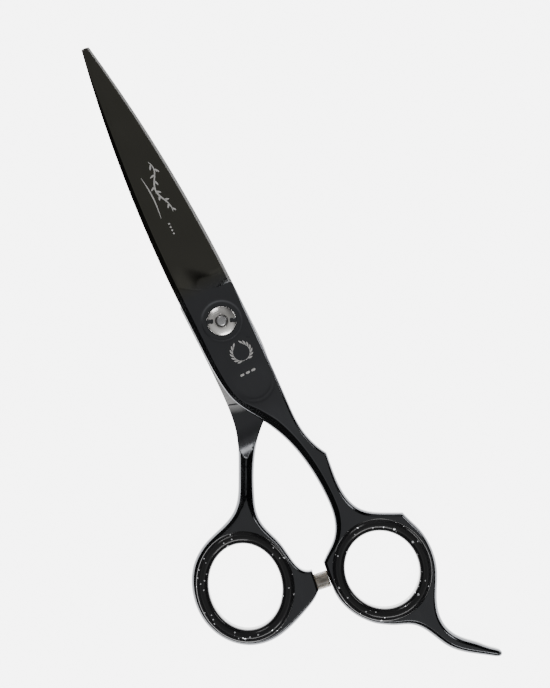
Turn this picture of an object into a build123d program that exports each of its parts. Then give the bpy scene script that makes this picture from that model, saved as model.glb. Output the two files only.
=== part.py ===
"""Hair cutting shears: two forged halves crossing at an adjustable pivot.

All sizes are in millimetres. The shears lie flat on their back. The pivot's axis is +Z, the blades
point along +Y, and the origin is where the pivot's axis meets the plane that the shears lie on.
The finger half is the front half, with a fixed finger rest on its ring. The thumb half is behind it.
"""

import os
from collections import namedtuple
from math import cos, radians, sin

from build123d import *

# Blades
blade_length = 77.8  # pivot axis to the tips
heel_distance = 8.0  # pivot axis to the heels of the cutting edges
tip_round = 0.4  # how far the rounded tip stands past the blade's straight sides
finger_spine_x = -7.75  # front blade: spine and cutting edge at the heel, then at the tip
finger_edge_x = 6.1
finger_tip_x = (-1.2, 0.3)
thumb_spine_x = 6.8  # back blade: the same, mirrored
thumb_edge_x = -7.1
thumb_tip_x = (0.85, -0.6)
edge_thickness = 0.3  # of a blade along its cutting edge
heel_thickness = 2.5  # of a blade along its spine, at the heel
tip_thickness = 0.8  # of a blade along its spine, at the tip
heel_sag = 4.0  # how much further from the pivot the ground face starts at the spine
heel_bend = (0.35, 0.3)  # the heel line bends at these shares of the spine's distance and the sag
heel_dip = 0.1  # the heel line leaves the blade this much nearer the pivot than the edge's heel
grind_width = 1.3  # the grinding wheel's cut against the blade's width

# The stack of the two halves
half_thickness = 3.0  # of each half at the pivot
ricasso_straight = 6.0  # the sides stay straight to this distance behind the pivot
ride_gap = 0.06  # between the faces that slide on each other
ride_radius = 21.3  # the sliding faces end at this distance behind the pivot
ride_relief = 0.25
ramp_start = 29.5  # behind the pivot, where the shanks start to reach full thickness
ramp_end = 37.0
shank_fall_start = 28.0  # where the outer faces start to fall to the rings' level
shank_fall_end = 35.0
ring_rise = 0.8  # from the flat the shears lie on to the metal of the rings
handle_chamfer = 0.7

# Finger rings: the hole that a finger goes through, as an ellipse
Ring = namedtuple("Ring", "x y half_width half_height tilt")
finger_ring = Ring(8.2, -74.45, 9.3, 10.05, 5.0)
thumb_ring = Ring(-24.7, -62.8, 9.25, 11.0, -13.7)
insert_wall = 1.9  # silicone between the hole and the metal
insert_flange = 3.2  # silicone lip, from the hole outwards
insert_clearance = 0.02
insert_round = 0.75  # on the lips' outer and inner corners
ring_band = 4.2  # from the hole to the outside of the metal

# Pivot
journal_radius = 2.3
running_clearance = 0.05
neck_radius = journal_radius + 0.7  # the flatted neck that turns the bolt with the thumb half
neck_flat = journal_radius + 0.15  # pivot axis to each flat
head_radius = 4.2
head_thickness = 1.1
thread_radius = 1.4
nut_radius = 3.7
nut_thickness = 1.1  # at the rim
nut_dome = 0.65  # centre over rim
nut_stand = 0.45  # nut's underside over the floor of its seat
nut_slot_width = 0.95
nut_slot_length = 1.6  # in from the rim
nut_slot_depth = 0.35  # below the rim
nut_slot_angle = -22.0
nut_clearance = 0.03  # under the nut
thread_bevel = 0.25
seat_depth = 0.9  # of the nut's seat, from the floor of the dish
seat_clearance = 0.2
dish_radius = 5.5
dish_depth = 0.3
spring_thickness = 0.25
spring_outer = nut_radius - 0.3
spring_bore = journal_radius + 0.2
washer_radius = 4.5
washer_thickness = 0.5
face_clearance = 0.01  # on each side of the washer
fit_clearance = 0.02

# Bumper between the rings
lug_reach = 8.1  # from the thumb hole to the lug's upper corner
lug_lean = 1.1  # how much further the lug's lower corner is
lug_top_angle = 0.6  # ellipse angles of the lug's two corners
lug_bottom_angle = -14.9
bumper_radius = 2.15
bumper_gap = 0.15  # bumper to finger ring with the shears closed
bumper_stem_radius = 1.2
bumper_stem_length = 3.2
bumper_stem_room = 0.2  # behind the stem in its hole
bumper_bevel = 0.6
bumper_place_from_corner = 3.4  # bumper's axis to the lug's upper corner
strike_reach = 4.2  # from the finger hole to the bottom of the flat that the bumper meets

# Levels
thumb_ride = half_thickness - ride_gap / 2
finger_ride = half_thickness + ride_gap / 2
washer_back = thumb_ride + face_clearance
washer_seat = washer_back + washer_thickness + face_clearance
front = 2 * half_thickness
dish_floor = front - dish_depth
seat_floor = dish_floor - seat_depth
nut_back = seat_floor + nut_stand
handle_top = front - ring_rise
handle_middle = front / 2
fall_run = shank_fall_end - shank_fall_start  # the outer faces fall by ring_rise over this
reach_out = 200.0  # longer than the shears, for the cutting shapes
touching = 0.01  # places closer than this are the same place


def ring_point(ring, angle, reach):
    """A point outside a ring's hole: its ellipse angle, and how far the ellipse is grown."""
    along = (ring.half_width + reach) * cos(radians(angle))
    up = (ring.half_height + reach) * sin(radians(angle))
    turn = radians(ring.tilt)
    return (
        ring.x + along * cos(turn) - up * sin(turn),
        ring.y + along * sin(turn) + up * cos(turn),
    )


def ring_points(ring, *places):
    """Several ring_point places, each an (angle, reach) pair."""
    return [ring_point(ring, angle, reach) for angle, reach in places]


def ring_hole(ring, grown, mode=Mode.ADD):
    """Draws the ring's hole, grown outwards, in the ring's place."""
    with Locations(Location((ring.x, ring.y, 0), (0, 0, ring.tilt))):
        Ellipse(ring.half_width + grown, ring.half_height + grown, mode=mode)


def blade_side(heel_x, tip_x):
    """One long side of a blade: a parabola that leaves the heel straight along the blade."""
    side_end = blade_length - tip_round
    return Bezier(
        (heel_x, heel_distance),
        (heel_x, (heel_distance + side_end) / 2),
        (tip_x, side_end),
    )


def blade_tip(tip_x):
    """The rounded tip between the ends of the blade's sides."""
    side_end = blade_length - tip_round
    middle = (sum(tip_x) / 2, blade_length)
    return ThreePointArc((tip_x[0], side_end), middle, (tip_x[1], side_end))


def face_plane(spine_x, edge_x, tip_x, inner, outward):
    """The plane of a blade's outer face: high along the spine and thin along the cutting edge."""
    spine_heel = Vector(spine_x, heel_distance, inner + outward * heel_thickness)
    spine_tip = Vector(tip_x[0], blade_length, inner + outward * tip_thickness)
    edge_heel = Vector(edge_x, heel_distance, inner + outward * edge_thickness)
    normal = (spine_tip - spine_heel).cross(edge_heel - spine_heel)
    if normal.Z * outward < 0:
        normal = -normal
    return Plane(origin=spine_heel, z_dir=normal)


def heel_line(spine_x, edge_x):
    """The curved end of the ground face, from the spine to the cutting edge."""
    return ThreePointArc(
        (spine_x * grind_width, heel_distance + 2 * heel_sag),
        (spine_x * heel_bend[0], heel_distance + heel_sag * heel_bend[1]),
        (edge_x * grind_width, heel_distance - heel_dip),
    )


def ground_waste(spine_x, edge_x, tip_x, inner, outward):
    """What grinding takes off a blade's outer face."""
    with BuildPart() as waste:
        with BuildSketch(Plane.XY.offset(inner)):
            with BuildLine():
                line = heel_line(spine_x, edge_x)
                Polyline(
                    line @ 1,
                    (edge_x * grind_width, blade_length + heel_distance),
                    (spine_x * grind_width, blade_length + heel_distance),
                    line @ 0,
                )
            make_face()
        extrude(amount=outward * 2 * half_thickness)
        plane = face_plane(spine_x, edge_x, tip_x, inner, outward)
        split(bisect_by=plane, keep=Keep.TOP)
    return waste.part


finger_waste = ground_waste(finger_spine_x, finger_edge_x, finger_tip_x, finger_ride, 1)
thumb_waste = ground_waste(thumb_spine_x, thumb_edge_x, thumb_tip_x, thumb_ride, -1)


def cut_side(*points):
    """Cuts away an outline given in the side view, as (distance towards the tips, height) points."""
    with BuildSketch(Plane.YZ) as outline:
        with BuildLine():
            Polyline(*points, close=True)
        make_face()
    extrude(outline.sketch, amount=reach_out, both=True, mode=Mode.SUBTRACT)


def relieve_behind_ride(level, amount):
    """Lowers the inner face behind the arc where the sliding face ends."""
    with BuildSketch(Plane.XY.offset(level)) as area:
        with Locations((0, -ramp_start / 2)):
            Rectangle(reach_out, ramp_start)
        Circle(ride_radius, mode=Mode.SUBTRACT)
    extrude(area.sketch, amount=amount, mode=Mode.SUBTRACT)


def on_handle_rim(edge):
    """Whether an edge is in the outline of a handle's flat front or back face."""
    box = edge.bounding_box()
    on_face = any(abs(box.center().Z - level) < touching for level in (ring_rise, handle_top))
    return (
        on_face
        and box.size.Z < touching
        and box.size.Y > touching
        and box.max.Y < touching - shank_fall_end
        and not edge.is_closed
    )


# Finger half: blade, shank, ring and finger rest in one forging
strike_top = ring_point(finger_ring, 143, 5.4)
strike_bottom = ring_point(finger_ring, 161, strike_reach)
rest_end = Vector(25.3, -106.75)  # centre of the finger rest's rounded end
rest_end_width = 2.0
rest_heading = Vector(0.81, -0.59)
rest_across = rest_heading.rotate(Axis.Z, 90) * (rest_end_width / 2)
ricasso_front_x = 6.8
knuckle = (8.8, -41.7)

with BuildPart() as finger_blade:
    with BuildSketch(Plane.XY.offset(ring_rise)):
        with BuildLine():
            edge = blade_side(finger_edge_x, finger_tip_x[1])
            spine = blade_side(finger_spine_x, finger_tip_x[0])
            blade_tip(finger_tip_x)
            heel = Line(edge @ 0, (ricasso_front_x, heel_distance - 0.2))
            outer_shank = Spline(
                heel @ 1,
                (6.5, -10.0),
                (5.8, -26.0),
                (6.3, -35.8),
                knuckle,
                tangents=[(0, -1), (1, -1.5)],
            )
            outer_web = Spline(
                knuckle,
                (8.0, -49.5),
                *ring_points(finger_ring, (77, 6.0), (60, 4.5), (37, 5.7)),
                tangents=[(-0.1, -1), (1, -0.5)],
            )
            outside = Spline(
                outer_web @ 1,
                *ring_points(finger_ring, (14, 4.6), (350, ring_band + 0.15), (328, 4.5), (308, 5.2)),
                (16.0, -91.8),
                (17.4, -97.6),
                (22.0, -102.3),
                rest_end + rest_across,
                tangents=[(0.25, -1), rest_heading],
            )
            rest_tip = ThreePointArc(
                outside @ 1,
                rest_end + rest_heading * (rest_end_width / 2),
                rest_end - rest_across,
            )
            rest_back = Spline(
                rest_tip @ 1,
                (20.0, -104.4),
                (14.6, -99.8),
                (11.4, -93.6),
                *ring_points(finger_ring, (267, 6.0), (250, 4.65), (231, ring_band)),
                tangents=[-rest_heading, (-0.9, 0.5)],
            )
            inside = Spline(
                rest_back @ 1,
                *ring_points(finger_ring, (214, 3.95), (195, 4.0), (176, 4.15)),
                strike_bottom,
                tangents=[(-0.7, 0.65), (0.05, 1)],
            )
            strike = Line(strike_bottom, strike_top)
            inner_shank = Spline(
                strike_top,
                *ring_points(finger_ring, (133, 4.75), (121, 4.4), (104, 7.0)),
                (3.7, -52.0),
                (2.9, -41.0),
                (0.0, -31.2),
                (-3.0, -25.6),
                (-6.3, -19.5),
                (-7.35, -14.4),
                (-7.7, -9.5),
                (finger_spine_x, -ricasso_straight),
            )
            Line(inner_shank @ 1, spine @ 0)
        make_face()
    extrude(amount=front - ring_rise)
    with BuildSketch(Plane.XY.offset(ring_rise)):
        ring_hole(finger_ring, insert_wall)
    extrude(amount=front, mode=Mode.SUBTRACT)
    cut_side(
        (reach_out, 0),
        (reach_out, finger_ride),
        (-ramp_start, finger_ride),
        (-ramp_start, finger_ride + ride_relief),
        (-ramp_end, ring_rise),
        (-ramp_end, 0),
    )
    cut_side(
        (fall_run - shank_fall_start, front + ring_rise),
        (-shank_fall_end, handle_top),
        (-reach_out, handle_top),
        (-reach_out, front + ring_rise),
    )
    relieve_behind_ride(finger_ride, ride_relief)
    chamfer(finger_blade.edges().filter_by(on_handle_rim), length=handle_chamfer)
    add(finger_waste, mode=Mode.SUBTRACT)
    with BuildSketch(Plane.XY.offset(front)):
        Circle(dish_radius)
    extrude(amount=-dish_depth, mode=Mode.SUBTRACT)
    with Locations((0, 0, dish_floor)):
        CounterBoreHole(
            radius=journal_radius + running_clearance,
            counter_bore_radius=nut_radius + seat_clearance,
            counter_bore_depth=seat_depth,
        )
    with BuildSketch():
        Circle(washer_radius + fit_clearance)
    extrude(amount=washer_seat, mode=Mode.SUBTRACT)

# Thumb half: blade, shank and ring in one forging, with a lug for the bumper
lug_top = ring_point(thumb_ring, lug_top_angle, lug_reach)
lug_bottom = ring_point(thumb_ring, lug_bottom_angle, lug_reach + lug_lean)
ricasso_back_x = -8.1
lug_down = (Vector(*lug_bottom) - Vector(*lug_top)).normalized()
lug_facing = lug_down.rotate(Axis.Z, 90)
bumper_centre = Vector(*lug_top, handle_middle) + lug_down * bumper_place_from_corner
bumper_place = Plane(origin=bumper_centre, z_dir=lug_facing)

with BuildPart() as thumb_blade:
    with BuildSketch():
        with BuildLine():
            edge = blade_side(thumb_edge_x, thumb_tip_x[1])
            spine = blade_side(thumb_spine_x, thumb_tip_x[0])
            blade_tip(thumb_tip_x)
            heel = Line(edge @ 0, (ricasso_back_x, heel_distance - 0.2))
            outer_shank = Spline(
                heel @ 1,
                (-8.2, -16.0),
                (-9.6, -27.5),
                (-14.0, -37.3),
                *ring_points(thumb_ring, (86, 8.0), (100, 5.2), (119, 4.45), (146, 4.5)),
                *ring_points(thumb_ring, (175, 4.3), (203, ring_band), (232, 4.05)),
                *ring_points(thumb_ring, (262, 4.15), (288, 4.5), (312, 5.3), (332, 7.3)),
                lug_bottom,
                tangents=[(0, -1), (1, 1)],
            )
            lug_end = Line(lug_bottom, lug_top)
            inner_shank = Spline(
                lug_top,
                *ring_points(thumb_ring, (0.5, 6.9), (3, 5.6), (12, 4.3), (37, 4.25), (52, 4.8)),
                *ring_points(thumb_ring, (65, 7.3)),
                (-12.5, -43.4),
                (-8.4, -35.2),
                (-5.0, -30.5),
                (-1.3, -27.0),
                (2.6, -23.4),
                (5.2, -18.6),
                (6.4, -13.2),
                (6.76, -9.0),
                (thumb_spine_x, -ricasso_straight),
            )
            Line(inner_shank @ 1, spine @ 0)
        make_face()
    extrude(amount=handle_top)
    with BuildSketch():
        ring_hole(thumb_ring, insert_wall)
    extrude(amount=front, mode=Mode.SUBTRACT)
    cut_side(
        (reach_out, front),
        (reach_out, thumb_ride),
        (-ramp_start, thumb_ride),
        (-ramp_start, thumb_ride - ride_relief),
        (-ramp_end, handle_top),
        (-ramp_end, front),
    )
    cut_side(
        (fall_run - shank_fall_start, -ring_rise),
        (-shank_fall_end, ring_rise),
        (-reach_out, ring_rise),
        (-reach_out, -ring_rise),
    )
    relieve_behind_ride(thumb_ride, -ride_relief)
    chamfer(thumb_blade.edges().filter_by(on_handle_rim), length=handle_chamfer)
    add(thumb_waste, mode=Mode.SUBTRACT)
    with BuildSketch():
        Circle(head_radius + fit_clearance)
    extrude(amount=head_thickness, mode=Mode.SUBTRACT)
    with BuildSketch():
        Circle(neck_radius + fit_clearance)
        flat_to_flat = 2 * (neck_flat + fit_clearance)
        Rectangle(flat_to_flat, 4 * neck_radius, mode=Mode.INTERSECT)
    extrude(amount=half_thickness, mode=Mode.SUBTRACT)
    with Locations(bumper_place):
        Hole(bumper_stem_radius + fit_clearance, depth=bumper_stem_length + bumper_stem_room)

# Pivot bolt: a round head let into the back, a flatted neck, the journal and the threaded end
neck_end = thumb_ride - fit_clearance
journal_end = nut_back - nut_clearance
thread_end = nut_back + nut_thickness + nut_dome

with BuildPart() as pivot_bolt:
    with BuildSketch():
        Circle(head_radius)
    extrude(amount=head_thickness - fit_clearance)
    with BuildSketch():
        Circle(neck_radius)
        Rectangle(2 * neck_flat, 4 * neck_radius, mode=Mode.INTERSECT)
    extrude(amount=neck_end)
    with BuildSketch():
        Circle(journal_radius)
    extrude(amount=journal_end)
    with BuildSketch():
        Circle(thread_radius)
    extrude(amount=thread_end)
    chamfer(pivot_bolt.edges().group_by(Axis.Z)[-1], length=thread_bevel)

# Tension nut: a domed disc with two slots for its key
rim = nut_back + nut_thickness

with BuildPart() as tension_nut:
    with BuildSketch(Plane.XZ):
        with BuildLine():
            dome = ThreePointArc(
                (nut_radius, rim),
                (nut_radius / 2, rim + nut_dome * 3 / 4),
                (0, rim + nut_dome),
            )
            Polyline(dome @ 1, (0, nut_back), (nut_radius, nut_back), dome @ 0)
        make_face()
    revolve(axis=Axis.Z)
    with BuildSketch(Plane.XY.offset(rim - nut_slot_depth)):
        with PolarLocations(nut_radius, 2, start_angle=nut_slot_angle):
            Rectangle(2 * nut_slot_length, nut_slot_width)
    extrude(amount=front, mode=Mode.SUBTRACT)
    Hole(thread_radius + running_clearance)

# Spring washer: a dished ring under the nut
with BuildPart() as spring_washer:
    with BuildSketch(Plane.XZ):
        with BuildLine():
            top = nut_back - nut_clearance
            Polyline(
                (spring_outer, seat_floor),
                (spring_outer, seat_floor + spring_thickness),
                (spring_bore, top),
                (spring_bore, top - spring_thickness),
                close=True,
            )
        make_face()
    revolve(axis=Axis.Z)

# Glide washer between the halves, let into the finger half
with BuildPart() as glide_washer:
    with BuildSketch(Plane.XY.offset(washer_back)):
        Circle(washer_radius)
        Circle(journal_radius + running_clearance, mode=Mode.SUBTRACT)
    extrude(amount=washer_thickness)


def make_insert(ring):
    """A silicone insert: a sleeve with a lip over each face of its ring."""
    with BuildPart() as insert:
        with BuildSketch():
            ring_hole(ring, insert_flange)
        extrude(amount=front)
        with BuildSketch():
            ring_hole(ring, 0)
        extrude(amount=front, mode=Mode.SUBTRACT)
        fillet(insert.edges().group_by(Axis.Z)[0], radius=insert_round)
        fillet(insert.edges().group_by(Axis.Z)[-1], radius=insert_round)
        with BuildSketch(Plane.XY.offset(ring_rise - insert_clearance)):
            ring_hole(ring, ring_band)
            ring_hole(ring, insert_wall - insert_clearance, mode=Mode.SUBTRACT)
        extrude(amount=handle_top - ring_rise + 2 * insert_clearance, mode=Mode.SUBTRACT)
    return insert


finger_ring_insert = make_insert(finger_ring)
thumb_ring_insert = make_insert(thumb_ring)

# Bumper: a plug in the thumb ring's lug that meets the finger ring's flat side
strike_line = Vector(*strike_bottom) - Vector(*strike_top)
strike_facing = strike_line.normalized().rotate(Axis.Z, -90)
to_strike = Vector(*strike_top) - Vector(bumper_centre.X, bumper_centre.Y)
bumper_reach = to_strike.dot(strike_facing) / lug_facing.dot(strike_facing)
bumper_length = bumper_reach - bumper_gap

with BuildPart() as bumper:
    with BuildSketch(bumper_place):
        Circle(bumper_radius)
    extrude(amount=bumper_length)
    free_end = bumper.faces().sort_by(Axis(bumper_centre, lug_facing))[-1]
    chamfer(free_end.edges(), length=bumper_bevel)
    with BuildSketch(bumper_place):
        Circle(bumper_stem_radius)
    extrude(amount=-bumper_stem_length)

os.makedirs("parts", exist_ok=True)
finger_blade.part.label = "finger_blade"
export_step(finger_blade.part, "parts/finger_blade.step")
thumb_blade.part.label = "thumb_blade"
export_step(thumb_blade.part, "parts/thumb_blade.step")
pivot_bolt.part.label = "pivot_bolt"
export_step(pivot_bolt.part, "parts/pivot_bolt.step")
tension_nut.part.label = "tension_nut"
export_step(tension_nut.part, "parts/tension_nut.step")
spring_washer.part.label = "spring_washer"
export_step(spring_washer.part, "parts/spring_washer.step")
glide_washer.part.label = "glide_washer"
export_step(glide_washer.part, "parts/glide_washer.step")
finger_ring_insert.part.label = "finger_ring_insert"
export_step(finger_ring_insert.part, "parts/finger_ring_insert.step")
thumb_ring_insert.part.label = "thumb_ring_insert"
export_step(thumb_ring_insert.part, "parts/thumb_ring_insert.step")
bumper.part.label = "bumper"
export_step(bumper.part, "parts/bumper.step")
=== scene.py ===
"""Looks for the hair cutting shears: both forged halves, pivot, ring inserts, bumper, etched marks.

Lengths inside the shape functions are in millimetres in the part's frame, and become metres when a
mesh is made. The pivot's axis is Z through the origin and the blades point along +Y.
"""

import math

import bpy
import numpy as np
from mathutils import Matrix, Vector, geometry


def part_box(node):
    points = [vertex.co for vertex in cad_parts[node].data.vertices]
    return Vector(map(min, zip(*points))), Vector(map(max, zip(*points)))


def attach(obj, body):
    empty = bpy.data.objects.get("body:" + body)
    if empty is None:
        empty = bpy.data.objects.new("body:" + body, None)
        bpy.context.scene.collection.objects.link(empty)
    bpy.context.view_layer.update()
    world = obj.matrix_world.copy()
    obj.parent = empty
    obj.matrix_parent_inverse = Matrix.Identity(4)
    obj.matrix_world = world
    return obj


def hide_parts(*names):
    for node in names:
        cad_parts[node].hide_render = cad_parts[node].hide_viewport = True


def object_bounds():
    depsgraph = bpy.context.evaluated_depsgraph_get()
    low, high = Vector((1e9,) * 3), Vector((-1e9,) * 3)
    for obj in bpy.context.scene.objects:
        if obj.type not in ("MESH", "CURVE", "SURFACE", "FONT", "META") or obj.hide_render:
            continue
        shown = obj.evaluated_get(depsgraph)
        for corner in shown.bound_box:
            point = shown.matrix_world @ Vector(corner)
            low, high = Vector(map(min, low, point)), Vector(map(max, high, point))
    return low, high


bl_info = {
    "name": "Hair Shears",
    "version": (1, 0, 0),
    "blender": (4, 5, 0),
    "location": "View3D > Sidebar > Shears",
    "description": "Builds the looks of a pair of hair cutting shears around their packed CAD part",
    "category": "Object",
}

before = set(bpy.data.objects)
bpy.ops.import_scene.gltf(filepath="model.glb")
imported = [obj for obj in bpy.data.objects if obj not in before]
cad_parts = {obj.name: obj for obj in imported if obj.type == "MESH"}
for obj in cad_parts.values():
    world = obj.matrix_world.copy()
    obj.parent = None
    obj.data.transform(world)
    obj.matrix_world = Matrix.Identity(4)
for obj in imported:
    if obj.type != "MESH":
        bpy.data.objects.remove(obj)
CAD_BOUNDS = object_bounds()
MM = 0.001


def box_mm(node):
    """A CAD node's lowest and highest corners in millimetres."""
    low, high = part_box(node)
    return np.array(low) / MM, np.array(high) / MM


FINGER_LOW, FINGER_HIGH = box_mm("finger_blade")
THUMB_LOW, THUMB_HIGH = box_mm("thumb_blade")
NUT_LOW, NUT_HIGH = box_mm("tension_nut")
BOLT_LOW, BOLT_HIGH = box_mm("pivot_bolt")
INSERT_LOW, INSERT_HIGH = box_mm("finger_ring_insert")
WASHER_LOW, WASHER_HIGH = box_mm("glide_washer")

# Levels, read from the frame
FRONT = FINGER_HIGH[2]
MIDDLE = FRONT / 2
HANDLE_BACK = FINGER_LOW[2]
HANDLE_FRONT = THUMB_HIGH[2]
NUT_RADIUS = NUT_HIGH[0]
HEAD_RADIUS = BOLT_HIGH[0]
WASHER_RADIUS = WASHER_HIGH[0]

# Shape of the halves
HEEL = 8.0  # pivot to the heels of the cutting edges
HEEL_BEND_START, HEEL_BEND, HEEL_BEND_POWER = 1.5, 0.0507, 1.86
RUN_OUT, RUN_OUT_GROWTH = 5.2, 3.4  # length of the grinding's end at the edge, and what the spine adds
SPINE_THICKNESS = 2.5  # of a ground blade, level with the heel
EDGE_TAPER, TIP_TAPER = 0.1588, 0.0095  # thickness lost per millimetre towards the edge and the tip
RIDE_GAP = 0.03  # from the middle plane to each sliding face
RIDE_RADIUS = 21.3  # round end of the sliding faces
RELIEF = 0.25  # how far the faces behind that end stand back
RIDE_HOLLOW = 0.1
HEAD_DEPTH = 1.1  # recess for the bolt's head
SEAT_LEVEL = FRONT - 1.2  # floor of the round seat under the nut
SEAT_GAP = 0.195
DISH_RADIUS, DISH_DEPTH, DISH_EDGE = 5.5, 0.17, 0.9  # the shallow dish round the nut
HOLLOW_CENTRE = (0.4, -17.3)  # the shallow hollow in front of the handle
HOLLOW_FLOOR, HOLLOW_RIM, HOLLOW_DEPTH = 3.9, 5.7, 0.3
TONGUE_START, TONGUE_END, TONGUE_POWER = 26.0, 34.6, 2.1  # where the thumb half climbs to its handle
RAMP_START, RAMP_END = 29.5, 37.5  # where the finger half's back falls to its handle
FALL_START, FALL_END = 23.0, 38.0  # where both outer faces fall to their handles
BLADE_SECTION = -12.0  # outlines come from the blade's level in front of this and the handle's behind it
HANDLE_WALL = 1.95  # from a finger hole's insert to the metal
RIM_WEAR = 0.12  # width of the worn rims


# ---------------------------------------------------------------- plan outlines from the CAD nodes


def section_loops(node, height):
    """Closed outlines, in millimetres, of a CAD node cut at a height. The largest comes first."""
    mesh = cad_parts[node].data
    mesh.calc_loop_triangles()
    points = np.zeros(len(mesh.vertices) * 3)
    mesh.vertices.foreach_get("co", points)
    points = points.reshape(-1, 3) / MM
    corners = np.zeros(len(mesh.loop_triangles) * 3, dtype=np.int32)
    mesh.loop_triangles.foreach_get("vertices", corners)
    _, first, same = np.unique(np.round(points, 4), axis=0, return_index=True, return_inverse=True)
    points = points[first]
    triangles = same.reshape(-1)[corners].reshape(-1, 3)
    above = points[:, 2] > height + 1e-6
    links = {}
    place = {}
    for a, b, c in triangles:
        ends = []
        for i, j in ((a, b), (b, c), (c, a)):
            if above[i] != above[j]:
                key = (min(i, j), max(i, j))
                share = (height - points[key[0], 2]) / (points[key[1], 2] - points[key[0], 2])
                place[key] = points[key[0], :2] + share * (points[key[1], :2] - points[key[0], :2])
                ends.append(key)
        if len(ends) == 2:
            links.setdefault(ends[0], []).append(ends[1])
            links.setdefault(ends[1], []).append(ends[0])
    loops = []
    unused = set(links)
    while unused:
        key = min(unused)
        chain = [key]
        unused.discard(key)
        while True:
            onward = [k for k in links[chain[-1]] if k in unused]
            if not onward:
                break
            chain.append(onward[0])
            unused.discard(onward[0])
        if len(chain) > 5:
            loops.append(counter_clockwise(np.array([place[k] for k in chain])))
    return sorted(loops, key=lambda loop: -abs(signed_area(loop)))


def signed_area(loop):
    ahead = np.roll(loop, -1, axis=0)
    return 0.5 * np.sum(loop[:, 0] * ahead[:, 1] - ahead[:, 0] * loop[:, 1])


def counter_clockwise(loop):
    return loop if signed_area(loop) > 0 else loop[::-1]


def joined_outline(node, blade_height, handle_height, split):
    """One outline from two levels: the blade's above y = split, the handle's below it."""
    blade = section_loops(node, blade_height)[0]
    handle = section_loops(node, handle_height)[0]
    return counter_clockwise(np.vstack([open_chain(blade, split, 1), open_chain(handle, split, -1)]))


def open_chain(loop, split, side):
    """The part of a closed loop on one side of y = split, in order from its first point."""
    keep = (loop[:, 1] - split) * side > 0
    starts = np.where(keep & ~np.roll(keep, 1))[0]
    longest = max(starts, key=lambda s: run_length(keep, s))
    order = (np.arange(run_length(keep, longest)) + longest) % len(loop)
    return loop[order]


def run_length(keep, start):
    length = 0
    while keep[(start + length) % len(keep)] and length < len(keep):
        length += 1
    return length


def tidy_loop(loop, spacing, corner_degrees=19.0):
    """Even spacing along a closed loop, smoothed between its corners, which stay where they are."""
    gap = np.linalg.norm(loop - np.roll(loop, 1, axis=0), axis=1)
    loop = loop[gap > 0.004]
    before = loop - np.roll(loop, 1, axis=0)
    after = np.roll(loop, -1, axis=0) - loop
    turn = np.degrees(
        np.arctan2(
            before[:, 0] * after[:, 1] - before[:, 1] * after[:, 0],
            np.sum(before * after, axis=1),
        )
    )
    corners = list(np.where(np.abs(turn) > corner_degrees)[0])
    if not corners:
        corners = [0]
    closed = len(corners) == 1 and abs(turn[corners[0]]) <= corner_degrees
    pieces = []
    for k, start in enumerate(corners):
        end = corners[(k + 1) % len(corners)]
        count = (end - start) % len(loop) or len(loop)
        chain = loop[(start + np.arange(count + 1)) % len(loop)]
        along = np.concatenate([[0], np.cumsum(np.linalg.norm(np.diff(chain, axis=0), axis=1))])
        steps = max(1, int(round(along[-1] / spacing)))
        at = np.linspace(0, along[-1], steps + 1)
        even = np.column_stack([np.interp(at, along, chain[:, i]) for i in (0, 1)])
        for _ in range(8):
            if steps > 2:
                even[1:-1] = 0.25 * even[:-2] + 0.5 * even[1:-1] + 0.25 * even[2:]
        pieces.append(even[:-1])
    result = np.vstack(pieces)
    if closed:
        for _ in range(4):
            result = (
                0.25 * np.roll(result, 1, axis=0) + 0.5 * result + 0.25 * np.roll(result, -1, axis=0)
            )
    return result


def inward_normals(loop):
    """Unit normals pointing left of a counter-clockwise loop's direction."""
    along = np.roll(loop, -1, axis=0) - np.roll(loop, 1, axis=0)
    along /= np.linalg.norm(along, axis=1)[:, None] + 1e-12
    return np.column_stack([-along[:, 1], along[:, 0]])


def distance_to(loop, points):
    """Distance from each point to a closed loop, and the index and share of the nearest segment."""
    ahead = np.roll(loop, -1, axis=0)
    span = ahead - loop
    length = np.sum(span**2, axis=1) + 1e-12
    best = np.full(len(points), 1e9)
    index = np.zeros(len(points), dtype=int)
    share = np.zeros(len(points))
    for s in range(0, len(points), 2000):
        p = points[s : s + 2000]
        offset = p[:, None, :] - loop[None]
        t = np.clip(np.sum(offset * span[None], axis=2) / length[None], 0, 1)
        d = np.linalg.norm(offset - t[..., None] * span[None], axis=2)
        near = np.argmin(d, axis=1)
        rows = np.arange(len(p))
        best[s : s + 2000] = d[rows, near]
        index[s : s + 2000] = near
        share[s : s + 2000] = t[rows, near]
    return best, index, share


def inside_loop(loop, points):
    """Which points are inside a closed loop."""
    ahead = np.roll(loop, -1, axis=0)
    result = np.zeros(len(points), dtype=bool)
    for (x0, y0), (x1, y1) in zip(loop, ahead):
        if y0 == y1:
            continue
        crosses = (points[:, 1] > y0) != (points[:, 1] > y1)
        at = x0 + (points[:, 1] - y0) / (y1 - y0) * (x1 - x0)
        result ^= crosses & (points[:, 0] < at)
    return result


def smooth(value, low, high):
    """0 below low, 1 above high, and an even curve between."""
    t = np.clip((value - low) / (high - low), 0, 1)
    return t * t * (3 - 2 * t)


# ---------------------------------------------------------------- plates: flat forgings with relief


def anchor_values(loop, anchors):
    """Values along a loop from (x, y, value, ...) anchors, each at the loop's nearest point."""
    gaps = np.linalg.norm(np.roll(loop, -1, axis=0) - loop, axis=1)
    along = np.concatenate([[0], np.cumsum(gaps)[:-1]])
    total = gaps.sum()
    at = []
    for anchor in anchors:
        nearest = np.argmin(np.linalg.norm(loop - np.array(anchor[:2]), axis=1))
        at.append(along[nearest])
    order = np.argsort(at)
    at = np.array(at)[order]
    values = np.array([anchor[2:] for anchor in anchors])[order]
    at = np.concatenate([[at[-1] - total], at, [at[0] + total]])
    values = np.vstack([values[-1], values, values[0]])
    return np.column_stack([np.interp(along, at, values[:, i]) for i in range(values.shape[1])])


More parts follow.
